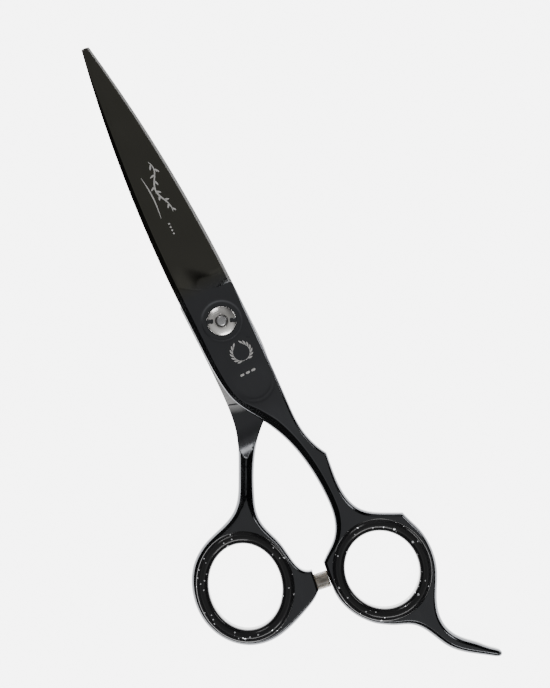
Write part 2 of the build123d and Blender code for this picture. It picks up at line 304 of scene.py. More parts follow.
def circle(radius, count, centre=(0.0, 0.0)):
    angle = np.arange(count) * 2 * np.pi / count
    return np.column_stack([centre[0] + radius * np.cos(angle), centre[1] + radius * np.sin(angle)])


def plate(name, outline, holes, guides, top, bottom, filling, reach_in=(), sharp_degrees=24.0):
    """A closed mesh between two height functions over an outline with holes.

    guides are (points, closed) lines that the triangles follow. reach_in lists distances in from the
    outline where a guide line also runs, each one value or a value for every point of the outline.
    """
    points = []
    links = []

    def add_line(line, closed):
        start = sum(len(p) for p in points)
        points.append(np.array(line))
        count = len(line)
        last = count if closed else count - 1
        links.extend((start + i, start + (i + 1) % count) for i in range(last))

    def add_kept(line, good, closed):
        start = sum(len(p) for p in points)
        number = np.cumsum(good) - 1
        points.append(line[good])
        for i in range(len(line) if closed else len(line) - 1):
            j = (i + 1) % len(line)
            if good[i] and good[j]:
                links.append((start + number[i], start + number[j]))

    add_line(outline, True)
    for hole in holes:
        add_line(hole, True)
    normals = inward_normals(outline)
    for distance in reach_in:
        widths = np.broadcast_to(distance, len(outline))
        line = outline + normals * widths[:, None]
        actual, _, _ = distance_to(outline, line)
        good = (actual > widths * 0.93) & inside_loop(outline, line)
        for hole in holes:
            off, _, _ = distance_to(hole, line)
            good &= (off > 0.3) & ~inside_loop(hole, line)
        add_kept(line, good, True)
    for line, closed in guides:
        off, _, _ = distance_to(outline, line)
        add_kept(line, inside_loop(outline, line) & (off > 0.06), closed)
    low, high = outline.min(0), outline.max(0)
    grid = np.stack(
        np.meshgrid(
            np.arange(low[0], high[0], filling), np.arange(low[1], high[1], filling * 0.9), indexing="ij"
        ),
        axis=-1,
    )
    grid[:, ::2, 0] += filling / 2
    grid = grid.reshape(-1, 2)
    grid = grid[inside_loop(outline, grid)]
    placed = np.vstack(points)
    keep = np.ones(len(grid), dtype=bool)
    for s in range(0, len(grid), 1000):
        part = grid[s : s + 1000]
        near = np.sqrt(((part[:, None] - placed[None]) ** 2).sum(2)).min(1)
        keep[s : s + 1000] = near > filling * 0.45
    points.append(grid[keep])
    flat = np.vstack(points)
    made = geometry.delaunay_2d_cdt([Vector(p) for p in flat], links, [], 0, 1e-5)
    plan = np.array([tuple(v) for v in made[0]])
    faces = np.array(made[2])
    centres = plan[faces].mean(axis=1)
    wanted = inside_loop(outline, centres)
    for hole in holes:
        wanted &= ~inside_loop(hole, centres)
    faces = faces[wanted]
    spans = plan[faces]
    area = np.cross(spans[:, 1] - spans[:, 0], spans[:, 2] - spans[:, 0])
    faces = faces[np.abs(area) > 1e-9]
    faces = np.where((area[np.abs(area) > 1e-9] > 0)[:, None], faces, faces[:, ::-1])
    used, faces = np.unique(faces, return_inverse=True)
    faces = faces.reshape(-1, 3)
    plan = plan[used]
    upper = np.column_stack([plan, top(plan)])
    lower = np.column_stack([plan, bottom(plan)])
    upper[:, 2] = np.maximum(upper[:, 2], lower[:, 2] + 0.04)
    edges = np.vstack([faces[:, [0, 1]], faces[:, [1, 2]], faces[:, [2, 0]]])
    count = len(plan)
    code = edges[:, 0].astype(np.int64) * count + edges[:, 1]
    twin = edges[:, 1].astype(np.int64) * count + edges[:, 0]
    rim = edges[~np.isin(code, twin)]
    walls = [(a + count, b + count, b, a) for a, b in rim]
    every = [tuple(f) for f in faces] + [tuple(f[::-1] + count) for f in faces] + walls
    mesh = bpy.data.meshes.new(name)
    mesh.from_pydata((np.vstack([upper, lower]) * MM).tolist(), [], every)
    return finish_mesh(name, mesh, sharp_degrees)


def finish_mesh(name, mesh, sharp_degrees=24.0):
    """Smooth shading with sharp creases, linked to the scene."""
    mesh.validate()
    mesh.polygons.foreach_set("use_smooth", [True] * len(mesh.polygons))
    mesh.set_sharp_from_angle(angle=math.radians(sharp_degrees))
    mesh.update()
    made = bpy.data.objects.new(name, mesh)
    bpy.context.scene.collection.objects.link(made)
    return made


def revolve(name, profile, place, segments=96):
    """A closed solid of revolution. profile is (radius, height) in millimetres along place's Z."""
    rings = []
    points = []
    for radius, height in profile:
        if radius < 1e-6:
            rings.append([len(points)])
            points.append((0, 0, height))
        else:
            rings.append(list(range(len(points), len(points) + segments)))
            for k in range(segments):
                turn = 2 * math.pi * k / segments
                points.append((radius * math.cos(turn), radius * math.sin(turn), height))
    faces = []
    for lower, upper in zip(rings, rings[1:] + rings[:1]):
        if len(lower) == 1 and len(upper) == 1:
            continue
        for k in range(segments):
            j = (k + 1) % segments
            if len(lower) == 1:
                faces.append((lower[0], upper[j], upper[k]))
            elif len(upper) == 1:
                faces.append((lower[k], lower[j], upper[0]))
            else:
                faces.append((lower[k], lower[j], upper[j], upper[k]))
    mesh = bpy.data.meshes.new(name)
    mesh.from_pydata([tuple(place @ (Vector(p) * MM)) for p in points], [], faces)
    return finish_mesh(name, mesh)


def fillet_path(corners, radius, steps=5):
    """Rounds the corners of an open (radius, height) profile."""
    corners = [np.array(c, float) for c in corners]
    path = [corners[0]]
    for a, b, c in zip(corners, corners[1:], corners[2:]):
        back, onward = a - b, c - b
        reach = min(radius, 0.45 * np.linalg.norm(back), 0.45 * np.linalg.norm(onward))
        start = b + back / np.linalg.norm(back) * reach
        end = b + onward / np.linalg.norm(onward) * reach
        for k in range(steps + 1):
            t = k / steps
            path.append((1 - t) ** 2 * start + 2 * t * (1 - t) * b + t * t * end)
    path.append(corners[-1])
    return [tuple(p) for p in path]


# ---------------------------------------------------------------- heights of the two halves


def blade_thickness(from_spine, y):
    """Thickness of a blade's ground part, from how far a place is from the spine side."""
    return SPINE_THICKNESS - EDGE_TAPER * from_spine - TIP_TAPER * (y - HEEL)


def heel_curve(from_edge):
    """Where the ground face starts, from how far a place is from the cutting edge side."""
    return HEEL + HEEL_BEND * np.maximum(from_edge - HEEL_BEND_START, 0) ** HEEL_BEND_POWER


def heel_width(from_edge):
    """How long the wheel's run-out is: shorter at the cutting edge and long at the spine."""
    return RUN_OUT + RUN_OUT_GROWTH * smooth(from_edge, 3.0, 10.0)


def ground_face(full, thin, from_edge, y):
    """Blends the full thickness into the ground face past the curved heel line."""
    depth = np.maximum(full - thin, 0)
    t = np.clip((y - heel_curve(from_edge)) / heel_width(from_edge), 0, 1)
    return full - depth * (1 - (1 - t) ** 2)


def edge_drop(loop, values, plan):
    """How far the surface falls towards the outline: a bevel, then a small round at the edge."""
    away, index, share = distance_to(loop, plan)
    ahead = (index + 1) % len(loop)
    local = values[index] * (1 - share[:, None]) + values[ahead] * share[:, None]
    width, drop, rounding = local[:, 0], local[:, 1], local[:, 2]
    share = away / width
    soft = 0.12
    fall = np.where(share < 1 - soft, 1 - share, np.clip(1 + soft - share, 0, 1) ** 2 / (4 * soft))
    fall = drop * fall
    near = np.clip(1 - away / rounding, 0, 1)
    return fall + rounding * (1 - np.sqrt(np.clip(1 - near**2, 0, 1))), away


def ride_hollow(away):
    """The hollow ground into a blade's inner face, inside its honed ride lines."""
    return RIDE_HOLLOW * smooth(away, 0.35, 2.2)


def behind_ride(out, y):
    """0 on the sliding face and 1 on the relieved face behind its round end."""
    return np.clip((out - RIDE_RADIUS) / 0.2, 0, 1) * (y < 0)


def handle_level(y, inner, outer, start, end):
    """A level that changes smoothly from inner to outer between two distances behind the pivot."""
    return inner + (outer - inner) * smooth(-y, start, end)


class Half:
    """What the front half and the back half share: outline, bevels and guide lines."""

    def __init__(self, node, blade_height, handle_height, insert, outer_anchors, inner_anchors):
        self.loop = tidy_loop(joined_outline(node, blade_height, handle_height, BLADE_SECTION), 0.42)
        hole = tidy_loop(section_loops(insert, MIDDLE)[-1], 0.5)
        self.metal_hole = hole - inward_normals(hole) * HANDLE_WALL
        self.outer = anchor_values(self.loop, outer_anchors)
        self.inner = anchor_values(self.loop, inner_anchors)


def finger_front(half, plan):
    x, y = plan[:, 0], plan[:, 1]
    full = handle_level(y, FRONT, HANDLE_FRONT, FALL_START, FALL_END)
    thin = MIDDLE + RIDE_GAP + blade_thickness(x - FINGER_LOW_X, y)
    height = np.where(y > HEEL - 1, ground_face(full, thin, FINGER_EDGE_X - x, y), full)
    # a shallow hollow dips towards the handle and ends at a round rim
    from_middle = np.hypot(x - HOLLOW_CENTRE[0], np.minimum(y - HOLLOW_CENTRE[1], 0))
    within = 1 - smooth(from_middle, HOLLOW_FLOOR, HOLLOW_RIM)
    height -= HOLLOW_DEPTH * smooth(-y, 12.5, 21.5) * within
    drop, _ = edge_drop(half.loop, half.outer, plan)
    height -= drop
    out = np.hypot(x, y)
    dish = FRONT - DISH_DEPTH * smooth(-out, -DISH_RADIUS, DISH_EDGE - DISH_RADIUS)
    height = np.where(y < HEEL, np.minimum(height, dish), height)
    return np.where(out < NUT_RADIUS + SEAT_GAP, SEAT_LEVEL, height)


def finger_back(half, plan):
    y = plan[:, 1]
    out = np.hypot(plan[:, 0], y)
    drop, away = edge_drop(half.loop, half.inner, plan)
    ride = MIDDLE + RIDE_GAP + ride_hollow(away) * smooth(y, HEEL - 1, HEEL + 4)
    ride = ride + RELIEF * behind_ride(out, y)
    height = handle_level(y, 0, 1, RAMP_START, RAMP_END)
    height = ride * (1 - height) + HANDLE_BACK * height + drop
    return np.where(out < WASHER_RADIUS + 0.03, WASHER_HIGH[2] + 0.012, height)


def thumb_front(half, plan):
    y = plan[:, 1]
    out = np.hypot(plan[:, 0], y)
    drop, away = edge_drop(half.loop, half.inner, plan)
    ride = MIDDLE - RIDE_GAP - ride_hollow(away) * smooth(y, HEEL - 1, HEEL + 4)
    ride = ride - RELIEF * behind_ride(out, y)
    edge = 0.12 * (1 - np.sqrt(1 - np.clip(1 - away / 0.12, 0, 1) ** 2))
    climb = np.clip((-y - TONGUE_START) / (TONGUE_END - TONGUE_START), 0, 1) ** TONGUE_POWER
    tongue = ride - edge + (HANDLE_FRONT + 0.1 - ride) * climb
    return np.where(y > -TONGUE_START, ride - edge, np.minimum(tongue, HANDLE_FRONT - drop))


def thumb_back(half, plan):
    x, y = plan[:, 0], plan[:, 1]
    full = handle_level(y, MIDDLE - RIDE_GAP, MIDDLE - RIDE_GAP - HANDLE_BACK, FALL_START, FALL_END)
    thin = blade_thickness(THUMB_HIGH_X - x, y)
    thick = np.where(y > HEEL - 1, ground_face(full, thin, x - THUMB_EDGE_X, y), full)
    drop, _ = edge_drop(half.loop, half.outer, plan)
    height = MIDDLE - RIDE_GAP - thick + drop
    out = np.hypot(x, y)
    return np.where(out < HEAD_RADIUS + 0.025, HEAD_DEPTH, height)


FINGER_LOW_X = FINGER_LOW[0]
FINGER_EDGE_X = 6.1
THUMB_HIGH_X = 6.8
THUMB_EDGE_X = -7.1

# Bevels along each outline: x, y, then bevel width, bevel drop and edge rounding
FINGER_OUTER = [
    (-0.7, 77.8, 0.35, 0.12, 0.08),
    (-3.2, 67.0, 0.75, 0.4, 0.1),
    (-5.2, 50.0, 1.2, 0.75, 0.12),
    (-7.6, 20.0, 1.55, 1.0, 0.15),
    (-7.75, 8.0, 1.5, 1.05, 0.18),
    (-7.75, 0.0, 1.5, 1.05, 0.2),
    (-7.4, -14.0, 1.35, 1.0, 0.25),
    (-5.5, -21.0, 1.3, 1.1, 0.3),
    (-3.3, -25.2, 2.0, 1.5, 0.4),
    (-0.9, -29.5, 2.3, 1.5, 0.6),
    (2.1, -37.5, 2.05, 1.3, 0.75),
    (3.6, -48.0, 1.85, 1.2, 0.75),
    (3.4, -56.0, 1.8, 1.1, 0.75),
    (0.2, -62.7, 1.3, 0.9, 0.6),
    (-2.6, -64.8, 0.9, 0.7, 0.5),
    (-4.6, -68.5, 0.8, 0.6, 0.35),
    (-5.2, -74.0, 0.85, 0.5, 0.7),
    (0.6, -86.3, 0.85, 0.5, 0.8),
    (9.8, -91.3, 1.3, 0.8, 0.8),
    (15.5, -100.8, 1.2, 0.7, 0.9),
    (26.0, -107.3, 0.9, 0.3, 0.8),
    (19.5, -99.8, 1.2, 0.7, 0.9),
    (16.0, -92.0, 1.1, 0.8, 0.8),
    (21.7, -76.0, 0.85, 0.5, 0.8),
    (19.3, -63.9, 0.9, 0.5, 0.6),
    (11.0, -59.2, 1.1, 0.7, 0.65),
    (8.1, -51.0, 1.0, 0.7, 0.6),
    (8.7, -42.2, 0.6, 0.5, 0.35),
    (7.4, -39.0, 0.8, 0.6, 0.45),
    (5.8, -28.0, 0.75, 0.5, 0.4),
    (6.8, -3.0, 0.55, 0.35, 0.28),
    (6.8, 7.6, 0.4, 0.2, 0.14),
    (6.1, 8.2, 0.1, 0.0, 0.03),
    (0.4, 77.0, 0.1, 0.0, 0.03),
]
FINGER_INNER = [
    (-0.7, 77.8, 0.1, 0.0, 0.03),
    (-7.6, -10.0, 0.1, 0.0, 0.06),
    (-1.8, -27.5, 0.3, 0.0, 0.1),
    (2.1, -37.5, 1.1, 0.8, 0.6),
    (-3.4, -65.4, 0.9, 0.6, 0.5),
    (-5.2, -74.0, 0.85, 0.5, 0.8),
    (26.0, -107.3, 0.8, 0.4, 0.7),
    (21.7, -76.0, 0.85, 0.5, 0.8),
    (19.3, -63.9, 0.9, 0.6, 0.6),
    (7.4, -39.0, 0.8, 0.6, 0.4),
    (5.8, -28.0, 0.3, 0.0, 0.1),
    (6.8, 7.6, 0.1, 0.0, 0.05),
]
THUMB_OUTER = [
    (0.1, 77.8, 0.35, 0.12, 0.08),
    (2.6, 67.0, 0.75, 0.4, 0.1),
    (4.6, 50.0, 1.2, 0.75, 0.12),
    (6.7, 20.0, 1.55, 1.0, 0.15),
    (6.8, 0.0, 1.5, 1.0, 0.2),
    (5.2, -18.6, 1.4, 1.0, 0.3),
    (-1.3, -27.0, 1.8, 1.1, 0.4),
    (-8.4, -35.2, 1.7, 1.1, 0.6),
    (-13.7, -48.0, 1.2, 0.9, 0.7),
    (-11.3, -60.0, 0.8, 0.5, 0.6),
    (-8.2, -69.4, 0.5, 0.4, 0.2),
    (-20.0, -77.4, 0.9, 0.5, 0.8),
    (-38.2, -64.0, 0.9, 0.5, 0.8),
    (-28.0, -48.1, 1.2, 0.7, 0.8),
    (-17.5, -43.3, 1.7, 1.0, 0.7),
    (-12.8, -35.0, 1.6, 1.0, 0.6),
    (-8.4, -20.0, 0.6, 0.4, 0.25),
    (-8.1, 7.6, 0.4, 0.2, 0.1),
    (-7.0, 8.3, 0.1, 0.0, 0.03),
    (-0.7, 77.0, 0.1, 0.0, 0.03),
]
THUMB_INNER = [
    (-1.3, -27.0, 2.2, 1.5, 0.7),
    (-7.4, -34.0, 2.3, 1.5, 0.8),
    (-9.4, -37.0, 2.35, 1.5, 0.8),
    (-12.2, -43.0, 2.25, 1.5, 0.8),
    (-13.3, -47.0, 1.5, 1.0, 0.8),
    (-13.7, -50.0, 1.1, 0.8, 0.75),
    (-11.3, -60.0, 0.85, 0.6, 0.6),
    (-8.2, -69.4, 0.5, 0.4, 0.25),
    (-20.0, -77.4, 0.9, 0.5, 0.9),
    (-38.2, -64.0, 0.9, 0.5, 0.9),
    (-28.0, -48.1, 1.5, 0.8, 0.9),
    (-18.5, -43.9, 1.6, 1.1, 0.9),
    (-16.6, -42.2, 2.2, 1.6, 0.9),
    (-13.8, -37.0, 2.3, 1.6, 0.8),
    (-10.5, -30.0, 2.2, 1.5, 0.8),
    (-8.4, -24.0, 2.2, 1.5, 0.8),
]


# ---------------------------------------------------------------- materials


class Shader:
    """A small helper that adds and links nodes in one material."""

    def __init__(self, name):
        self.material = bpy.data.materials.new(name)
        self.material.use_nodes = True
        self.tree = self.material.node_tree
        self.surface = self.tree.nodes["Principled BSDF"]
        self.place = self.tree.nodes.new("ShaderNodeTexCoord").outputs["Object"]

    def set(self, **values):
        for key, value in values.items():
            self.surface.inputs[key.replace("_", " ")].default_value = value
        return self

    def add(self, kind, inputs=(), **settings):
        node = self.tree.nodes.new(kind)
        for key, value in settings.items():
            setattr(node, key, value)
        for key, value in dict(inputs).items():
            if isinstance(value, bpy.types.NodeSocket):
                self.tree.links.new(value, node.inputs[key])
            else:
                node.inputs[key].default_value = value
        return node

    def noise(self, scale, detail=3.0, stretch=(1, 1, 1)):
        mapped = self.add("ShaderNodeMapping", {"Vector": self.place, "Scale": stretch})
        fac = {"Vector": mapped.outputs[0], "Scale": scale, "Detail": detail}
        return self.add("ShaderNodeTexNoise", fac).outputs["Fac"]

    def span(self, value, low, high, to_low=0.0, to_high=1.0):
        given = {"Value": value, "From Min": low, "From Max": high, "To Min": to_low, "To Max": to_high}
        return self.add("ShaderNodeMapRange", given).outputs["Result"]

    def maths(self, operation, first, second=0.0):
        return self.add("ShaderNodeMath", {0: first, 1: second}, operation=operation).outputs[0]

    def mix(self, share, first, second):
        node = self.add("ShaderNodeMix", {"Factor": share}, data_type="RGBA")
        for socket, value in ((node.inputs[6], first), (node.inputs[7], second)):
            if isinstance(value, bpy.types.NodeSocket):
                self.tree.links.new(value, socket)
            else:
                socket.default_value = (*value, 1.0)
        return node.outputs[2]

    def link(self, output, name):
        self.tree.links.new(output, self.surface.inputs[name])
        return self

    def bump(self, height, depth, strength=1.0):
        given = {"Height": height, "Distance": depth, "Strength": strength}
        self.link(self.add("ShaderNodeBump", given).outputs["Normal"], "Normal")
        return self


def coat_material(settings):
    """Black coated steel: warm on the ground blade, cooler behind the heel, with fine wear."""
    s = Shader("forged_coat")
    s.set(Metallic=1.0)
    split = s.add("ShaderNodeSeparateXYZ", {"Vector": s.place})
    warm = s.span(split.outputs["Y"], 0.008, 0.012)
    patches = s.noise(90.0, 4.0)
    cool = s.mix(patches, tuple(settings.coat_cool), tuple(c * 1.2 for c in settings.coat_cool))
    brown = s.mix(patches, tuple(settings.coat_warm), tuple(c * 1.2 for c in settings.coat_warm))
    base = s.mix(warm, cool, brown)
    rim = s.add("ShaderNodeAttribute", attribute_name="rim").outputs["Fac"]
    specks = s.span(s.noise(1400.0, 2.0), 0.45, 0.7)
    worn = s.maths("MULTIPLY", s.maths("MULTIPLY", rim, specks), 0.35)
    s.link(s.mix(worn, base, (0.32, 0.31, 0.3)), "Base Color")
    fine = s.noise(700.0, 5.0, (1, 0.25, 1))
    s.link(s.span(fine, 0.3, 0.7, settings.coat_gloss - 0.03, settings.coat_gloss + 0.05), "Roughness")
    s.bump(s.noise(2600.0, 3.0, (1, 0.3, 1)), 0.000004, 0.5)
    return s.material


def steel_material(name, colour, roughness, lines=(12, 1, 12), depth=0.000004):
    """Bare ground steel with fine grinding lines."""
    s = Shader(name)
    s.set(Metallic=1.0)
    grain = s.noise(420.0, 5.0, lines)
    s.link(s.mix(grain, tuple(c * 0.86 for c in colour), colour), "Base Color")
    s.link(s.span(grain, 0.3, 0.7, roughness * 0.8, roughness * 1.25), "Roughness")
    s.bump(grain, depth, 0.6)
    return s.material


def ride_material(settings):
    """The sliding face: bright ground steel that fades into the coat past its round end, with painted
    shade: a thin band of coat colour along the relief step.
    """
    s = Shader("ride_face")
    split = s.add("ShaderNodeSeparateXYZ", {"Vector": s.place})
    x, y = split.outputs["X"], split.outputs["Y"]
    out = s.maths("SQRT", s.maths("ADD", s.maths("MULTIPLY", x, x), s.maths("MULTIPLY", y, y)))
    behind = s.maths("LESS_THAN", y, 0.0)
    start = RIDE_RADIUS * MM
    fade = s.maths("MULTIPLY", s.span(out, start, start + 0.0024), behind)
    # painted shade: a thin band of coat colour over the relief step, standing in for the step's shaded wall
    line = s.maths("MULTIPLY", s.span(out, start - 0.0002, start), behind)
    line = s.maths("MULTIPLY", line, s.span(out, start + 0.0005, start + 0.0001))
    share = s.maths("MAXIMUM", fade, line)
    grain = s.noise(500.0, 5.0, (1, 14, 1))
    bright = s.mix(grain, (0.62, 0.62, 0.62), (0.86, 0.86, 0.85))
    s.link(s.mix(share, bright, tuple(settings.coat_cool)), "Base Color")
    s.set(Metallic=1.0)
    s.link(s.span(grain, 0.3, 0.7, 0.3, 0.45), "Roughness")
    s.bump(grain, 0.000003, 0.5)
    return s.material


def silicone_material(settings):
    """Glossy black silicone with silver flecks of several sizes inside it."""
    s = Shader("insert_silicone")
    s.set(IOR=1.42)
    share = None
    for scale, size, rarity in ((430.0, 0.13, 0.35), (820.0, 0.16, 0.55)):
        given = {"Vector": s.place, "Scale": scale}
        cells = s.add("ShaderNodeTexVoronoi", given)
        near = s.maths("LESS_THAN", cells.outputs["Distance"], size)
        split = s.add("ShaderNodeSeparateColor", {"Color": cells.outputs["Color"]})
        chosen = s.maths("GREATER_THAN", split.outputs["Red"], rarity)
        fleck = s.maths("MULTIPLY", near, chosen)
        share = fleck if share is None else s.maths("MAXIMUM", share, fleck)
    silver = tuple(settings.fleck_colour)
    s.link(s.mix(share, (0.014, 0.014, 0.015), silver), "Base Color")
    s.link(s.maths("MULTIPLY", share, 0.35), "Metallic")
    s.link(s.span(s.noise(500.0, 3.0), 0.3, 0.7, 0.1, 0.17), "Roughness")
    s.bump(s.noise(900.0, 2.0), 0.000006, 0.5)
    return s.material


def bumper_material(settings):
    """Cloudy translucent plug."""
    s = Shader("bumper_rubber")
    s.set(Roughness=0.35, IOR=1.5, Subsurface_Weight=0.5, Subsurface_Scale=0.002)
    s.surface.inputs["Subsurface Radius"].default_value = (1.0, 0.8, 0.6)
    cloud = s.noise(700.0, 4.0)
    tone = tuple(settings.bumper_colour)
    s.link(s.mix(s.span(cloud, 0.35, 0.65), tuple(c * 0.5 for c in tone), tone), "Base Color")
    s.bump(s.noise(1500.0, 3.0), 0.00003, 0.5)
    return s.material


def plain_material(name, colour, roughness, metallic=0.0, scale=900.0, depth=0.000005):
    """A finish with a little uneven gloss and grain."""
    s = Shader(name)
    s.set(Metallic=metallic)
    grain = s.noise(scale, 4.0)
    s.link(s.mix(grain, tuple(c * 0.9 for c in colour), colour), "Base Color")
    s.link(s.span(grain, 0.3, 0.7, roughness * 0.85, roughness * 1.15), "Roughness")
    s.bump(grain, depth, 0.6)
    return s.material


def found_material(name, make, *given):
    """The material of that name, made on first use."""
    return bpy.data.materials.get(name) or make(*given)


def add_rim_attribute(made, loop):
    """Stores how close each vertex is to the outline, for the worn edges."""
    count = len(made.data.vertices)
    points = np.zeros(count * 3)
    made.data.vertices.foreach_get("co", points)
    away, _, _ = distance_to(loop, points.reshape(-1, 3)[:, :2] / MM)
    attribute = made.data.attributes.new("rim", "FLOAT", "POINT")
    attribute.data.foreach_set("value", np.exp(-away / RIM_WEAR).astype(np.float32))


def paint_ride(made, facing):
    """Puts the sliding face's finish on the faces that look across the middle plane."""
    made.data.materials.append(bpy.data.materials["ride_face"])
    for face in made.data.polygons:
        x, y, z = face.center / MM
        inner = face.normal.z * facing > 0.8 and abs(z - MIDDLE) < 0.9
        if inner and (y > 0 or math.hypot(x, y) < RIDE_RADIUS + 2.6):
            face.material_index = 1


def place_piece(made, body, slot, *replaced):
    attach(made, body)
    if replaced:
        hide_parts(*replaced)
    return made


def ring_guides(radii, count=96):
    return [(circle(r, count), True) for r in radii]


def heel_guides(edge_x, towards_spine):
    """Lines along the curved heel of the ground face."""
    from_edge = np.linspace(-1.0, 14.5, 60)
    across = edge_x + towards_spine * from_edge
    shares = (0.0, 0.05, 0.15, 0.3, 0.5, 0.75, 1.0)
    lines = []
    for share in shares:
        line = heel_curve(from_edge) + heel_width(from_edge) * share
        lines.append((np.column_stack([across, line]), False))
    return lines


def ride_guides():
    """The round end of the sliding faces."""
    angle = np.radians(np.linspace(-125, -60, 80))
    arc = np.column_stack([np.cos(angle), np.sin(angle)])
    return [(arc * radius, False) for radius in (RIDE_RADIUS, RIDE_RADIUS + 0.2)]


def swept_insert(name, hole, profile):
    """A closed band: profile points are (distance out from the hole, height)."""
    outward = -inward_normals(hole)
    count = len(hole)
    points = []
    for away, height in profile:
        line = hole + outward * away
        points.extend((x * MM, y * MM, height * MM) for x, y in line)
    faces = []
    for k in range(len(profile)):
        n = (k + 1) % len(profile)
        for i in range(count):
            j = (i + 1) % count
            faces.append((k * count + i, n * count + i, n * count + j, k * count + j))
    mesh = bpy.data.meshes.new(name)
    mesh.from_pydata(points, [], faces)
    return finish_mesh(name, mesh, 50.0)


# ---------------------------------------------------------------- settings and operators


def colour_setting(name, description, default):
    return bpy.props.FloatVectorProperty(
        name=name, description=description, subtype="COLOR", default=default, min=0, max=1
    )


class ShearsSettings(bpy.types.PropertyGroup):
    """Sizes and colours of the shears."""

    coat_warm: colour_setting("Blade coat", "Colour of the coat on the ground blades", (0.092, 0.09, 0.077))
    coat_cool: colour_setting("Handle coat", "Colour of the coat behind the heel", (0.082, 0.084, 0.089))
    fleck_colour: colour_setting("Flecks", "Colour of the flecks in the inserts", (0.82, 0.83, 0.85))
    bumper_colour: colour_setting("Bumper", "Colour of the translucent bumper", (0.34, 0.31, 0.265))
    coat_gloss: bpy.props.FloatProperty(
        name="Coat roughness",
        description="Roughness of the black coat",
        default=0.15,
        min=0.1,
        max=0.6,
    )
    mark_width: bpy.props.FloatProperty(
        name="Etched line",
        description="Width of the etched lines",
        subtype="DISTANCE",
        unit="LENGTH",
        default=0.00022,
        min=0.0001,
        max=0.0006,
    )


def make_forging(name, half, holes, guides, top, bottom, facing):
    """One forged half, with its two finishes."""
    settings = bpy.context.scene.shears_settings
    width = half.outer[:, 0]
    inner = half.inner[:, 0]
    rounding = half.outer[:, 2]
    lines = [rounding * share for share in (0.06, 0.2, 0.45, 0.75, 1.0)]
    lines += [(width + rounding) / 2] + [width * share for share in (0.88, 0.94, 1.0, 1.06, 1.12)]
    lines += [np.maximum(inner, rounding * 1.2)]
    made = plate(
        name,
        half.loop,
        holes,
        guides,
        lambda plan: top(half, plan),
        lambda plan: bottom(half, plan),
        0.5,
        lines,
    )
    add_rim_attribute(made, half.loop)
    found_material("ride_face", ride_material, settings)
    made.data.materials.append(found_material("forged_coat", coat_material, settings))
    paint_ride(made, facing)
    return made


def finger_shape():
    return Half("finger_blade", 3.14, 3.9, "finger_ring_insert", FINGER_OUTER, FINGER_INNER)


class SHEARS_OT_finger_half(bpy.types.Operator):
    """Builds the front half: blade, shank, finger ring and finger rest"""

    bl_idname = "shears.finger_half"
    bl_label = "Finger half"

    def execute(self, context):
        half = finger_shape()
        guides = ring_guides([WASHER_RADIUS + 0.02, WASHER_RADIUS + 0.06])
        guides += ring_guides([NUT_RADIUS + 0.19, NUT_RADIUS + 0.22])
        shares = (0.0, 0.15, 0.3, 0.5, 0.7, 0.85, 1.0)
        guides += ring_guides([DISH_RADIUS - DISH_EDGE * share for share in shares])
        guides += heel_guides(FINGER_EDGE_X, -1) + ride_guides()
        for reach in np.linspace(HOLLOW_FLOOR, HOLLOW_RIM, 7):
            guides.append((circle(reach, 90, HOLLOW_CENTRE), True))
        holes = [circle(2.4, 64), half.metal_hole]
        made = make_forging("finger_forging", half, holes, guides, finger_front, finger_back, -1)
        place_piece(made, "finger_half", "black_coat", "finger_blade")
        return {"FINISHED"}


class SHEARS_OT_thumb_half(bpy.types.Operator):
    """Builds the back half: blade, shank and thumb ring with its lug"""

    bl_idname = "shears.thumb_half"
    bl_label = "Thumb half"

    def execute(self, context):
        half = Half("thumb_blade", 2.86, 1.6, "thumb_ring_insert", THUMB_OUTER, THUMB_INNER)
        guides = ring_guides([HEAD_RADIUS + 0.02, HEAD_RADIUS + 0.06])
        guides += heel_guides(THUMB_EDGE_X, 1) + ride_guides()
        across = np.linspace(-16, 6, 50)
        guides.append((np.column_stack([across, np.full(50, -TONGUE_START)]), False))
        holes = [circle(3.06, 72), half.metal_hole]
        made = make_forging("thumb_forging", half, holes, guides, thumb_front, thumb_back, 1)
        place_piece(made, "thumb_half", "black_coat", "thumb_blade")
        return {"FINISHED"}


